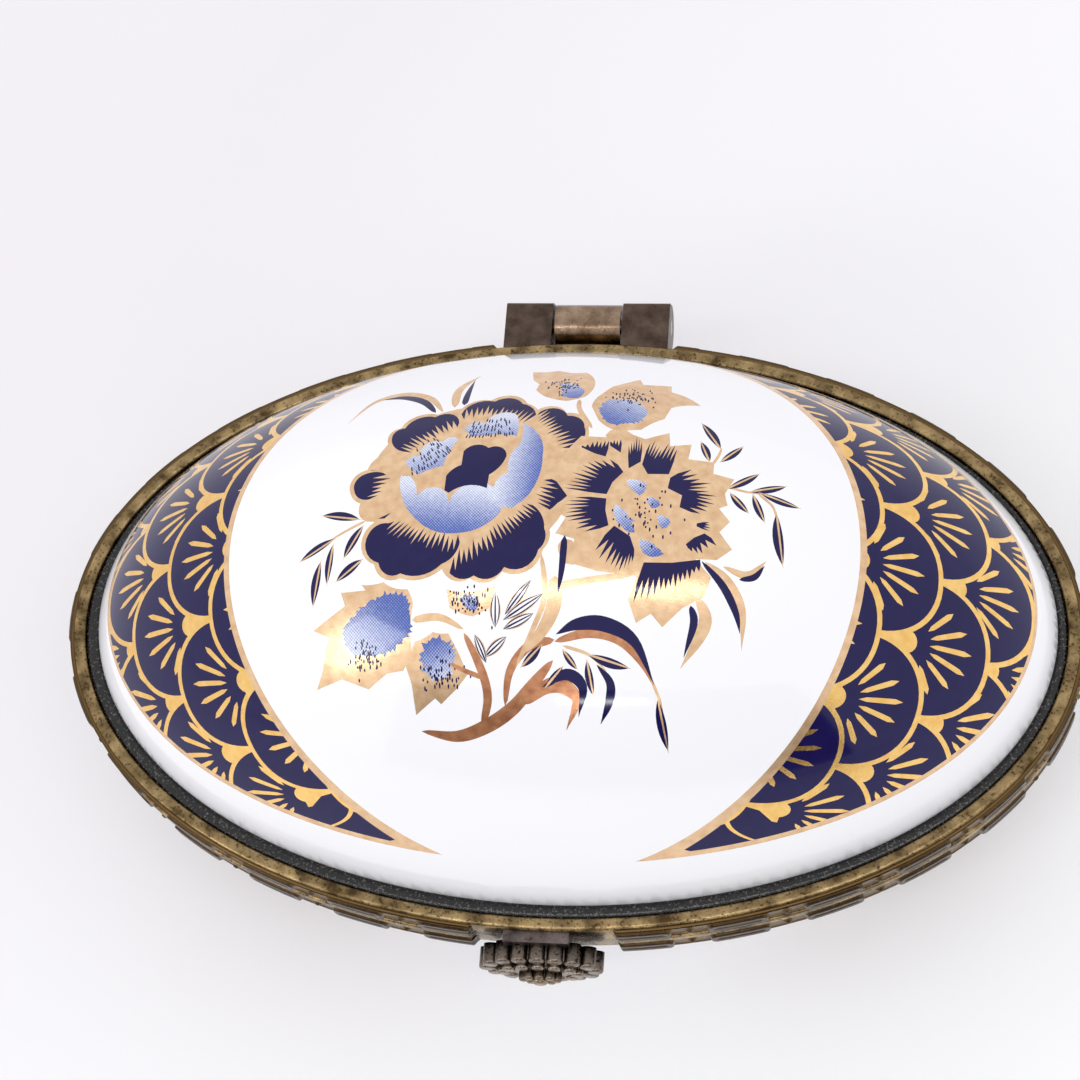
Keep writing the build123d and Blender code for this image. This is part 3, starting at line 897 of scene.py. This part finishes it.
# %% Antique bronze and the other metals
def antique(low, high, rough, pits=0.35, rubbed=None, by_tone=False):
    """low and high are the colours of hollows and of high places, or the other way round where
    the high places are the dark ones; rubbed is (axis, mm where dark, mm where bright)."""
    def draw(w):
        cloud = w.noise(0.8, 5).ramp((0.3, 0), (0.7, 1))
        if by_tone:
            worn = w.tone() * 0.8 + cloud * 0.2
        elif rubbed:
            axis, dark, bright = rubbed
            share = w.along(axis) * (1 / (bright - dark) / MM) - dark / (bright - dark)
            worn = share * 0.8 + cloud * 0.2
        else:
            worn = cloud
        speck = w.noise(5, 4).ramp((0.56, 0), (0.66, 1)) * pits
        shown = w.maths("MAXIMUM", worn - speck, 0)
        return {
            "Base Color": shown.mix(shade(low), shade(high)),
            "Roughness": w.noise(3, 3) * 0.2 + (speck * 0.3 + (rough - 0.1)),
            "Normal": w.bump(w.noise(2.2, 5), 0.03, 0.6),
        }
    return draw


def metal(name, *wear, **options):
    return finish(name, antique(*wear, **options), Metallic=1.0)


def cement_black(w):
    dust = w.noise(6, 4).ramp((0.56, 0), (0.7, 1))
    return {
        "Base Color": (dust * 0.4).mix(shade((6, 6, 7)), shade((150, 144, 138))),
        "Roughness": dust * 0.4 + 0.1,
        "Normal": w.bump(w.noise(4, 4), 0.03),
    }


rim_metal = metal("gilt_rim", (78, 62, 40), (178, 152, 108), 0.28, 0.5)
strip_metal = metal("bronze_strip", (112, 88, 54), (56, 47, 42), 0.3, 0.35, by_tone=True)
lug_metal = metal("lug_bronze", (66, 54, 46), (104, 88, 78), 0.36, 0.2)
barrel_metal = metal("barrel_bronze", (100, 80, 62), (166, 142, 120), 0.24, 0.25)
pin_metal = metal("pin_steel", (110, 106, 102), (180, 176, 170), 0.25, 0.1)
tab_metal = metal("tab_bronze", (66, 58, 54), (124, 112, 108), 0.34)
rosette_metal = metal("rosette_bronze", (16, 13, 11), (146, 132, 120), 0.24, 0.45, (1, -22.2, -23.6))
rivet_metal = metal("rivet_bronze", (44, 36, 30), (150, 134, 116), 0.28, 0.25, (1, -23.6, -24.2))
keeper_metal = metal("keeper_brass", (110, 86, 56), (190, 160, 116), 0.28)
cement = finish("black_cement", cement_black, IOR=1.5)
print("metals:", len([m for m in bpy.data.materials if "bronze" in m.name or "gilt" in m.name]))

# %% [markdown]
# ## The rims
# Each rim is one section carried round the oval: a band, a shelf under the porcelain's edge and a
# bright rounded lip at the seam. The lip stops short of the hinge and of the clasp, where nothing
# may be in the way, so its width is multiplied by a share that drops to nothing there.

# %% Bands that run round the rim
rim_long, rim_wide, rim_wall = 35.0, 21.56, 0.88
hinge_clear, clasp_clear = 6.35, 4.7
fine_steps = 7200


def ring_faces(count, total):
    """Faces that join closed rows of count points each into a closed ring."""
    faces = []
    for start in range(0, total, count):
        for row in range(count):
            here, above = start + row, start + (row + 1) % count
            faces.append((here, (here + count) % total, (above + count) % total, above))
    return faces


def dressed(spot):
    """1 where the rim carries ornament, 0 on the bare stretches at the hinge and the clasp."""
    clear = hinge_clear if spot.imag > 0 else clasp_clear
    return min(max((abs(spot.real) - clear) / 0.25, 0.0), 1.0)


def run_round(name, body, paint, spots, section, tones=False, sharp=None):
    """Carries a closed section round the rim. section(step, spot) gives rows of
    (out from the rim's oval, height, tone), running up the outside and down the inside."""
    points, levels = [], []
    for step, spot in enumerate(spots):
        turn = math.atan2(spot.imag / rim_wide, spot.real / rim_long)
        rows = section(step, spot)
        for out, z, tone in rows:
            points.append(((rim_long + out) * math.cos(turn), (rim_wide + out) * math.sin(turn), z))
            levels.append(tone)
    faces = ring_faces(len(rows), len(points))
    return make_piece(name, body, points, faces, paint, None, levels if tones else None, sharp)


def even_spots(count):
    """Spots at even distances round the rim, from the front middle towards +X."""
    fine = [p * -1j for p in oval_ring(1, 1, fine_steps)]
    fine = [complex(rim_long * p.real, rim_wide * p.imag) for p in fine]
    walked = [0.0]
    for a, b in zip(fine, fine[1:] + fine[:1]):
        walked.append(walked[-1] + abs(b - a))
    spots, i = [], 0
    for k in range(count):
        while walked[i] < walked[-1] * k / count:
            i += 1
        spots.append(fine[i % fine_steps])
    return spots


# Each corner of the lid rim's section: out from the rim's oval, height, share of the lip's width.
rim_section = (
    (-3.3, 17.0, 0), (0, 17.0, 0.7), (0, 17.03, 1), (0, 17.15, 1), (0, 17.27, 1), (0, 17.34, 0.9),
    (0, 17.37, 0.6), (0, 18.86, 0), (-0.04, 19.0, 0), (-0.16, 19.08, 0), (-0.44, 19.1, 0), (-0.72, 19.08, 0),
    (-0.84, 19.0, 0), (-rim_wall, 18.86, 0), (-rim_wall, 17.7, 0), (-3.3, 17.7, 0), (-3.4, 17.6, 0),
    (-3.4, 17.1, 0))
lip_out = 0.37


def rim_rows(flip):
    """The lid's rim section; flip turns it over, about the seam, for the base's rim."""
    def rows(_, spot):
        lip = lip_out * dressed(spot)
        drawn = [(out + lip * share, 2 * seam - z if flip else z, 0) for out, z, share in rim_section]
        return drawn[::-1] if flip else drawn
    return rows


rim_spots = even_spots(900)
lid_rim = run_round("lid_rim", "lid", rim_metal, rim_spots, rim_rows(False), sharp=50)
base_rim = run_round("base_rim", "base", rim_metal, rim_spots, rim_rows(True), sharp=50)
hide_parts("lid_frame")
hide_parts("base_frame")
print("rim turns:", len(rim_spots))

# %% [markdown]
# ## The bar-and-dot strips
# The ornament is a rolled strip of pressed bronze: a long rounded bar, a dot, a bar, a dot, all the
# way round. A die presses the whole strip at once, and a height field is the same thing in
# numbers: one function says how far the metal stands out at each place along and across.

# %% Pressing the strips
repeats, steps_each, rows_across = 28, 60, 18
strip_spots = even_spots(repeats * steps_each)
strip_out, bar_half, dot_radius = 0.18, 2.05, 0.33
pitch = sum(abs(b - a) for a, b in zip(strip_spots, strip_spots[1:] + strip_spots[:1])) / repeats


def smooth(value):
    t = min(max(value, 0.0), 1.0)
    return t * t * (3 - 2 * t)


def pressed(low, high, bar_out):
    """The section of a strip between two heights, with its bars out to bar_out."""
    middle, edge_wide, corner_radius, slope = (low + high) / 2, 0.12, 0.45, 0.16
    bar_tall = (high - low) / 2 - edge_wide
    groove_deep, groove_wide, groove_half = 0.3, 0.13, bar_half - 0.35

    def rows(step, spot):
        along = ((step / steps_each + 0.5) % 1 - 0.5) * pitch
        shown = dressed(spot)
        drawn = [(-0.1, low, 0)]
        for k in range(rows_across + 1):
            z = low + (high - low) * k / rows_across
            across = z - middle
            corner = math.hypot(max(abs(along) - bar_half + corner_radius, 0),
                                max(abs(across) - bar_tall + corner_radius, 0))
            bar = smooth((corner_radius + 0.02 - corner) / slope)
            groove = groove_deep * math.exp(-(across / groove_wide) ** 2)
            groove *= smooth((groove_half - abs(along)) / 0.3)
            dot = smooth((dot_radius - math.hypot(pitch / 2 - abs(along), across)) / 0.2)
            edge = 0.25 * smooth(1 - min(z - low, high - z) / edge_wide)
            stand = strip_out + (bar_out - strip_out) * max(bar - groove, dot * 0.8, edge)
            drawn.append((stand * shown - 0.05 * (1 - shown), z, max(bar - groove, dot)))
        return drawn + [(-0.1, high, 0)]
    return rows


lid_low_strip, lid_high_strip = [corner[2] for corner in corners("lid_gallery")]
base_low_strip, base_high_strip = [corner[2] for corner in corners("base_gallery")]
lid_strip = run_round("lid_strip", "lid", strip_metal, strip_spots,
                      pressed(lid_low_strip, lid_high_strip, 0.42), tones=True)
base_strip = run_round("base_strip", "base", strip_metal, strip_spots,
                       pressed(base_low_strip, base_high_strip, 0.5), tones=True)
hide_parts("lid_gallery")
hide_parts("base_gallery")
print("one bar and dot every", round(pitch, 2), "mm")

# %% [markdown]
# ## Black cement
# The porcelain is held in its rim by a black cement that is run into the gap while soft. Its top
# swells a little between its two edges, and that rounded skin is what draws the thin bright line
# round the foot of the dome. Its inner edge follows the porcelain and its outer edge the rim.

# %% The two beads of cement
def bead(name, body, middle, side, crest, floor):
    """A closed ring between the porcelain's oval and the rim's inner wall, its skin swelling
    from side height to crest height; floor is the height of its flat, hidden face."""
    turns, steps, points = 240, 10, []
    rows = [(1, floor)]
    for k in range(steps + 1):
        swell_share = math.sin(math.pi * k / steps) ** 0.7
        rows.append((1 - k / steps, side + (crest - side) * swell_share))
    rows.append((0, floor))
    china = [complex(*middle) + p for p in oval_ring(half_long, half_wide, turns)]
    wall = oval_ring(rim_long - rim_wall, rim_wide - rim_wall, turns)
    for a, b in zip(china, wall):
        for share, z in rows:
            spot = a + (b - a) * share
            points.append((spot.real, spot.imag, z))
    faces = ring_faces(len(rows), len(points))
    if crest < floor:
        faces = [face[::-1] for face in faces]
    return make_piece(name, body, points, faces, cement, sharp=60)


bead_swell, base_crest = 0.16, corners("base_cement")[0][2]
lid_bead = bead("lid_cement_bead", "lid", lid_middle, dome_edge - bead_swell,
                dome_edge, lid_low[2])
base_bead = bead("base_cement_bead", "base", (0, 0), base_crest + bead_swell,
                 base_crest, base_top)
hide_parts("lid_cement")
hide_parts("base_cement")
print("cement gap at the left end:", round(rim_long - rim_wall + lid_low[0], 2), "mm")

# %% [markdown]
# ## The pieces kept as they are
# The hinge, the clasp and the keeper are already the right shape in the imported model.
# A cast or filed edge is never knife-sharp, though, and a narrow rounding is what catches the
# light along it, so each gets a bevel as a modifier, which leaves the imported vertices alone.

# %% Rounded edges and metal for the hinge and the clasp
carried = (
    ("hinge_lug_left", "lug_bronze_left", lug_metal, 0.12),
    ("hinge_lug_right", "lug_bronze_right", lug_metal, 0.12),
    ("hinge_barrel", "barrel_bronze", barrel_metal, 0.1), ("hinge_pin", "pin_steel", pin_metal, 0.08),
    ("clasp_tab", "tab_bronze", tab_metal, 0.1), ("clasp_rosette", "rosette_bronze", rosette_metal, 0.05),
    ("clasp_rivet", "rivet_bronze", rivet_metal, 0.04), ("catch_keeper", "keeper_brass", keeper_metal, 0.05))
for node, slot, paint, width in carried:
    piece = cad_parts[node]
    piece.data.materials.clear()
    piece.data.materials.append(paint)
    bevel = piece.modifiers.new("filed edge", "BEVEL")
    bevel.width = width * MM
    bevel.segments = 2
    bevel.limit_method = "ANGLE"
    bevel.angle_limit = math.radians(40)
    bevel.harden_normals = True
    print(node, "edge", width, "mm")

# %% [markdown]
# ## The table, the light and the camera
# The box stands on a white table, with a painted shade that greys its near right corner, in an
# evenly bright room. Porcelain is all reflection, so a small window and two narrow strips draw the
# glints on the dome, and a dark card in front of the table, which only reflections see, gives the
# gilding and the front rim something to show.

# %% Table and light
def facing(spot, aim):
    """A place at spot, turned so that its local Z axis looks at aim."""
    way = Vector(aim) - Vector(spot)
    return Matrix.Translation(Vector(spot) * MM) @ way.to_track_quat("Z", "Y").to_matrix().to_4x4()


def light_panel(name, spot, aim, wide, tall, power):
    """A soft light panel, its sizes and places in millimetres."""
    lamp = bpy.data.lights.new(name, "AREA")
    lamp.shape = "RECTANGLE"
    lamp.size, lamp.size_y = wide * MM, tall * MM
    lamp.energy = power
    light = bpy.data.objects.new(name, lamp)
    bpy.context.collection.objects.link(light)
    behind = [2 * here - there for here, there in zip(spot, aim)]
    light.matrix_world = facing(spot, behind)


def table_with_painted_shade(w):
    """White, with painted shade that makes it a little greyer towards the near right corner."""
    per_metre = 8.0
    # painted shade: this mask grows towards the near right corner, where the table is mixed to grey
    near = w.along(0) * per_metre - w.along(1) * per_metre + w.noise(0.02, 2) * 0.2 + 0.2
    return {
        "Base Color": near.ramp((0, 0), (1, 1)).mix(shade((252, 252, 253)), shade((238, 235, 238))),
        "Roughness": w.noise(0.05) * 0.05 + 0.6,
    }


def card_paint(w):
    return {"Base Color": w.noise(0.01).mix(shade((52, 46, 42)), shade((70, 64, 60)))}


def stage_sheet(name, spot, aim, wide, tall, paint, seen=True):
    """A flat sheet of the set, its sizes and places in millimetres, facing aim; one that isn't
    seen by the camera still shows in reflections."""
    signs = ((-1, -1), (1, -1), (1, 1), (-1, 1))
    spots = [Vector((wide / 2 * x, tall / 2 * y, 0)) * MM for x, y in signs]
    mesh = bpy.data.meshes.new(name)
    mesh.from_pydata(spots, [], [(0, 1, 2, 3)])
    mesh.materials.append(paint)
    sheet = bpy.data.objects.new(name, mesh)
    bpy.context.collection.objects.link(sheet)
    sheet.matrix_world = facing(spot, aim)
    sheet.visible_camera = seen


stage_sheet("table", (0, 0, 0), (0, 0, 100), 3000, 3000, finish("white_table_painted_shade", table_with_painted_shade))
stage_sheet("dark_card", (60, -600, 180), (0, 0, 60), 900, 340,
            finish("dark_card", card_paint, Roughness=0.8), seen=False)

world = bpy.data.worlds.new("soft room")
bpy.context.scene.world = world
world.use_nodes = True
room = world.node_tree.nodes["Background"]
room.inputs["Color"].default_value = (0.98, 0.98, 1.0, 1)
room.inputs["Strength"].default_value = 0.95

light_panel("long_strip", (40, -205, 600), (6, -5, 30), 640, 22, 0.55)
light_panel("low_strip", (50, -548, 290), (5, -10, 30), 160, 14, 0.18)
light_panel("window", (-405, -340, 340), (-10, -7, 30), 130, 190, 0.35)
print("lamps:", ", ".join(lamp.name for lamp in bpy.data.lights))

# %% Camera
azimuth, elevation, roll = math.radians(21.864), math.radians(66.170), math.radians(-19.191)
distance, aim = 185.32, Vector((-2.111, 6.190, 19.1))
back = Vector((math.sin(azimuth) * math.cos(elevation), -math.cos(azimuth) * math.cos(elevation),
               math.sin(elevation)))
right = Vector((math.cos(azimuth), math.sin(azimuth), 0))
up = back.cross(right)
side_axis = math.cos(roll) * right + math.sin(roll) * up
up_axis = math.cos(roll) * up - math.sin(roll) * right
lens = bpy.data.cameras.new("camera")
lens.lens, lens.sensor_width = 88.42, 36
lens.clip_start, lens.clip_end = 0.01, 10
camera = bpy.data.objects.new("camera", lens)
bpy.context.collection.objects.link(camera)
stand = Matrix((side_axis, up_axis, back)).transposed().to_4x4()
camera.matrix_world = Matrix.Translation((aim + back * distance) * MM) @ stand
bpy.context.scene.camera = camera
print("camera at", [round(v / MM) for v in camera.matrix_world.translation])
